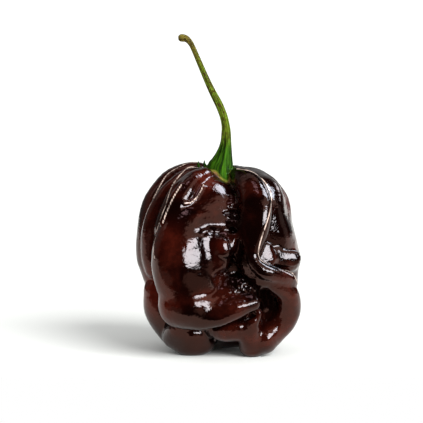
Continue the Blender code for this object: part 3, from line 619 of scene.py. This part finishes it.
def calyx_tooth(distance, turn, reach, height):
    """Path of one dried tip of the calyx, from just inside the pod's skin outwards and up."""
    upward = np.array([0, 0, 1])
    outward = np.array([math.cos(math.radians(turn)), math.sin(math.radians(turn)), 0])
    foot = np.array(STALK[0][:3]) + reach * outward
    column = foot + np.arange(0, TOOTH_SEARCH, TOOTH_SEARCH_STEP)[:, None] * upward
    foot[2] = column[distance(column) < 0][:, 2].max()
    rows = [[*(foot + height * (up * upward + out * outward)), radius] for up, out, radius in TOOTH_PATH]
    return smooth_path(rows, TOOTH_STEPS)


def build_stalk(distance, material):
    """The ribbed stalk and the tips of the calyx at its foot."""
    parts = [loft(smooth_path(STALK, STALK_STEPS), STALK_SIDES, STALK_RIBS)]
    parts += [loft(calyx_tooth(distance, *tooth), TOOTH_SIDES) for tooth in CALYX_TEETH]
    starts = np.cumsum([0] + [len(points) for points, _, _ in parts])
    faces = [[start + corner for corner in face] for start, part in zip(starts, parts) for face in part[1]]
    points = np.vstack([part[0] for part in parts])
    stalk = object_from("stalk_skin", to_metres(points), faces, material)
    add_attribute(stalk, "grain", np.vstack([part[2] for part in parts]))
    add_attribute(stalk, "from pod", np.clip(distance(points), 0, RIM_REACH))
    return stalk


class Nodes:
    """Short names for making and joining the nodes of one tree."""

    def __init__(self, tree):
        self.tree = tree

    def add(self, kind, inputs=None, **settings):
        """A new node with these settings, and its inputs set or linked."""
        node = self.tree.nodes.new("ShaderNode" + kind)
        for name, value in settings.items():
            setattr(node, name, value)
        for name, value in (inputs or {}).items():
            self.put(node.inputs[name], value)
        return node

    def put(self, socket, value):
        """Links the value to the socket if it is one itself, and sets it there otherwise."""
        if isinstance(value, bpy.types.NodeSocket):
            self.tree.links.new(value, socket)
        else:
            socket.default_value = value

    def math(self, operation, *values):
        return self.add("Math", dict(enumerate(values)), operation=operation).outputs[0]

    def vector(self, operation, *values):
        node = self.add("VectorMath", dict(enumerate(values)), operation=operation)
        return node.outputs["Value" if operation == "DOT_PRODUCT" else "Vector"]

    def scaled(self, vector, scale):
        node = self.add("VectorMath", {0: vector, "Scale": scale}, operation="SCALE")
        return node.outputs["Vector"]

    def ramp(self, value, low, high, start=0.0, end=1.0):
        """Changes gently from start to end while the value goes from low to high."""
        inputs = {"Value": value, "From Min": low, "From Max": high, "To Min": start, "To Max": end}
        return self.add("MapRange", inputs, interpolation_type="SMOOTHSTEP").outputs[0]

    def noise(self, vector, scale, detail=2.0, roughness=0.5, distortion=0.0):
        inputs = {"Vector": vector, "Scale": scale, "Detail": detail, "Roughness": roughness,
                  "Distortion": distortion}
        return self.add("TexNoise", inputs).outputs["Fac"]

    def mix(self, share, first, second):
        """One colour changing to another by a share. Each is a name in COLOURS or a socket."""
        node = self.add("Mix", {0: share}, data_type="RGBA")
        for socket, colour in ((6, first), (7, second)):  # the sockets for colours, called A and B
            self.put(node.inputs[socket], (*COLOURS[colour], 1) if isinstance(colour, str) else colour)
        return node.outputs[2]

    def bump(self, height, distance, normal=None):
        inputs = {"Height": height, "Distance": distance, "Strength": 1.0}
        if normal:
            inputs["Normal"] = normal
        return self.add("Bump", inputs).outputs[0]


def new_material(name):
    """A material, the nodes of its tree, and its shader."""
    material = bpy.data.materials.new(name)
    material.use_nodes = True
    return material, Nodes(material.node_tree), material.node_tree.nodes["Principled BSDF"]


def pod_material():
    """Nearly black with redder patches, painted shade in recesses, painted highlight lines on crests, a
    waxy gloss, soft dimples and a fine grain.
    """
    material, nodes, shader = new_material("pod skin")
    place = nodes.add("TexCoord").outputs["Object"]
    patches = nodes.ramp(nodes.noise(place, 95, 3, 0.55, 0.6), 0.42, 0.68)
    specks = nodes.ramp(nodes.noise(place, 700, 2, 0.6), 0.35, 0.75)
    redness = nodes.math("MULTIPLY", patches, nodes.ramp(specks, 0, 1, 0.6, 1))
    colour = nodes.mix(redness, "skin", "red patch")
    tint_and_shade = nodes.add("Attribute", attribute_name="redness_and_painted_shade").outputs["Fac"]
    redder = nodes.math("MULTIPLY", nodes.ramp(tint_and_shade, 0, 1), nodes.ramp(specks, 0, 1, 0.7, 1))
    colour = nodes.mix(redder, colour, "redder")
    # painted shade: where the amount is below zero the skin is darkened towards black
    painted_shade = nodes.ramp(nodes.math("MULTIPLY", tint_and_shade, -1), 0, 0.8)
    colour = nodes.mix(painted_shade, colour, "painted_shade")
    # painted highlight: pale cream lines along the crests, broken by noise
    painted_highlight = nodes.add("Attribute", attribute_name="painted_highlight").outputs["Fac"]
    painted_highlight = nodes.ramp(painted_highlight, *PAINTED_HIGHLIGHT_WIDTH, 1.0, 0.0)
    painted_highlight = nodes.math("MULTIPLY", painted_highlight, nodes.ramp(nodes.noise(place, 500, 2), 0.3, 0.55, 0.35, 0.95))
    colour = nodes.mix(painted_highlight, colour, "painted crest highlight")
    rim = nodes.add("Attribute", attribute_name="from stalk").outputs["Fac"]
    rim = nodes.math("MULTIPLY", nodes.ramp(rim, *RIM_WIDTH, 1.0, 0.0), nodes.ramp(specks, 0, 1, 0.25, 0.9))
    colour = nodes.mix(rim, colour, "rim by the stalk")
    wax = nodes.noise(place, 260, 4, 0.65, 0.4)
    roughness = nodes.ramp(wax, 0.3, 0.75, 0.03, 0.13)
    dimples = nodes.bump(nodes.noise(place, 420, 3, 0.5, 0.8), 0.00012)
    grain = nodes.bump(nodes.noise(place, 2400, 2, 0.5), 0.00002, dimples)
    nodes.put(shader.inputs["Base Color"], colour)
    nodes.put(shader.inputs["Roughness"], roughness)
    nodes.put(shader.inputs["Normal"], grain)
    shader.inputs["Specular Tint"].default_value = (1, 0.5, 0.4, 1)
    return material


def stalk_material():
    """Green with streaks along the grain, olive and mottled higher up, and brown at the cut end."""
    material, nodes, shader = new_material("stalk skin")
    grain = nodes.add("Attribute", attribute_name="grain").outputs["Vector"]
    along = nodes.add("SeparateXYZ", {0: grain}).outputs[2]
    fibres = nodes.noise(nodes.vector("MULTIPLY", grain, (1, 1, 0.04)), 5.5, 4, 0.6)
    mottle = nodes.noise(nodes.vector("MULTIPLY", grain, (0.5, 0.5, 0.3)), 2.2, 4, 0.65, 0.5)
    green = nodes.mix(nodes.ramp(fibres, 0.38, 0.64), "dark green", "light green")
    olive = nodes.mix(nodes.ramp(fibres, 0.36, 0.6), "dark olive", "light olive")
    olive = nodes.mix(nodes.ramp(mottle, 0.46, 0.62), olive, "brown mottle")
    brown = nodes.mix(nodes.ramp(mottle, 0.4, 0.6), "dark cut end", "light cut end")
    colour = nodes.mix(nodes.ramp(along, *STALK_OLIVE), green, olive)
    colour = nodes.mix(nodes.ramp(along, *STALK_BROWN), colour, brown)
    foot = nodes.add("Attribute", attribute_name="from pod").outputs["Fac"]
    foot = nodes.math("MULTIPLY", nodes.ramp(foot, *FOOT_WIDTH, 1.0, 0.0), nodes.ramp(mottle, 0.4, 0.6))
    colour = nodes.mix(foot, colour, "foot of the stalk")
    nodes.put(shader.inputs["Base Color"], colour)
    nodes.put(shader.inputs["Roughness"], nodes.ramp(fibres, 0.3, 0.7, 0.6, 0.4))
    nodes.put(shader.inputs["Normal"], nodes.bump(fibres, 0.0003))
    shader.inputs["Specular IOR Level"].default_value = 0.12
    shader.inputs["Specular Tint"].default_value = (1, 0.9, 0.3, 1)
    return material


def floor_material():
    """Pale matt paper with a faint tone."""
    material, nodes, shader = new_material("floor paper")
    place = nodes.add("TexCoord").outputs["Object"]
    tone = nodes.noise(place, 30, 3)
    nodes.put(shader.inputs["Base Color"], nodes.mix(tone, "paper", "lighter paper"))
    shader.inputs["Roughness"].default_value = 1
    shader.inputs["Specular IOR Level"].default_value = 0
    return material


def build_floor():
    """A wide half disc that ends close in front of the pod, so that the low front reflects dark."""
    turns = np.arange(FLOOR_SIDES + 1) * math.pi / FLOOR_SIDES
    points = np.column_stack([FLOOR_RADIUS * np.cos(turns), FLOOR_RADIUS * np.sin(turns), 0 * turns])
    points[:, 1] += FLOOR_FRONT
    return object_from("floor", points, [list(range(len(turns)))], floor_material())


def direction(azimuth, elevation):
    """Unit vector from the pod: azimuth 0 is towards the camera and 90 is to the right."""
    a, e = math.radians(azimuth), math.radians(elevation)
    return Vector((math.sin(a) * math.cos(e), -math.cos(a) * math.cos(e), math.sin(e)))


def panel_light(nodes, ray, azimuth, elevation, half_width, half_height, soft, radiance):
    """Light of one soft-edged rectangular panel of the sky, as seen along the ray."""
    facing = direction(azimuth, elevation)
    right = direction(azimuth + 90, 0)
    up = right.cross(facing)
    if up.z < 0:
        up = -up
    along = nodes.math("MAXIMUM", nodes.vector("DOT_PRODUCT", ray, tuple(facing)), LEAST_ALONG)
    share = 1.0
    for axis, half in ((right, half_width), (up, half_height)):
        edge = math.tan(math.radians(half))
        offset = nodes.math("DIVIDE", nodes.vector("DOT_PRODUCT", ray, tuple(axis)), along)
        inside = nodes.ramp(nodes.math("ABSOLUTE", offset), edge * (1 - soft), edge * (1 + soft), 1.0, 0.0)
        share = nodes.math("MULTIPLY", share, inside)
    return nodes.scaled(radiance, share)


def build_world():
    """White to the camera, even to matt surfaces, and a dark studio with panels to gloss."""
    world = bpy.data.worlds.new("studio")
    world.use_nodes = True
    world.cycles.sampling_method = "NONE"  # so that matt surfaces never sample the panels
    world.node_tree.nodes.clear()
    bpy.context.scene.world = world
    nodes = Nodes(world.node_tree)
    ray = nodes.add("TexCoord").outputs["Generated"]
    seen = nodes.add("LightPath").outputs
    light = (DARKEST,) * 3
    for panel in PANELS.values():
        light = nodes.vector("MAXIMUM", light, panel_light(nodes, ray, *panel))
    gloss = nodes.add("Background", {"Color": light}).outputs[0]
    even = nodes.add("Background", {"Strength": FILL, "Color": (1, 1, 1, 1)}).outputs[0]
    white = nodes.add("Background", {"Color": (1, 1, 1, 1)}).outputs[0]
    lit = nodes.add("MixShader", {0: seen["Is Diffuse Ray"], 1: gloss, 2: even}).outputs[0]
    shown = nodes.add("MixShader", {0: seen["Is Camera Ray"], 1: lit, 2: white}).outputs[0]
    nodes.add("OutputWorld", {"Surface": shown})


def build_key():
    """A soft sun that lights matt surfaces only, and casts the shadow."""
    light = bpy.data.lights.new("key", "SUN")
    light.energy = KEY_STRENGTH
    light.angle = math.radians(KEY_ANGLE)
    key = bpy.data.objects.new("key", light)
    bpy.context.scene.collection.objects.link(key)
    key.rotation_mode = "QUATERNION"
    key.rotation_quaternion = direction(KEY_AZIMUTH, KEY_ELEVATION).to_track_quat("Z", "Y")
    key.visible_glossy = False
    key.visible_camera = False


def camera_axes():
    """Directions to the right of the picture, to its top, and back to the camera."""
    right, back = direction(90, 0), direction(0, CAMERA_ELEVATION)
    return np.array(right), np.array(back.cross(right)), np.array(back)


def camera_target():
    """The point at the middle of the picture."""
    return np.array([(PIXELS / 2 - CENTRE_PIXEL) * PIXEL, 0, TARGET_HEIGHT])


def build_camera():
    """A camera a little above the pod that gives the photograph's scale and frame."""
    data = bpy.data.cameras.new("camera")
    data.sensor_width = SENSOR
    data.lens = SENSOR * CAMERA_DISTANCE / (PIXELS * PIXEL)
    data.clip_start = CAMERA_NEAR
    camera = bpy.data.objects.new("camera", data)
    bpy.context.scene.collection.objects.link(camera)
    bpy.context.scene.camera = camera
    back = direction(0, CAMERA_ELEVATION)
    target = Vector(camera_target())
    camera.rotation_mode = "QUATERNION"
    camera.location = target + back * CAMERA_DISTANCE
    camera.rotation_quaternion = back.to_track_quat("Z", "Y")


def main():
    """Builds the skins and the studio."""
    distance = pod_field()
    pod = build_pod(distance, pod_material())
    stalk = build_stalk(distance, stalk_material())
    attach(pod, "root")
    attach(stalk, "root")
    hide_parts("pod")
    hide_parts("stem")
    build_floor()
    build_world()
    build_key()
    build_camera()
    bpy.context.scene.view_settings.view_transform = "Standard"
    bpy.context.view_layer.update()


main()
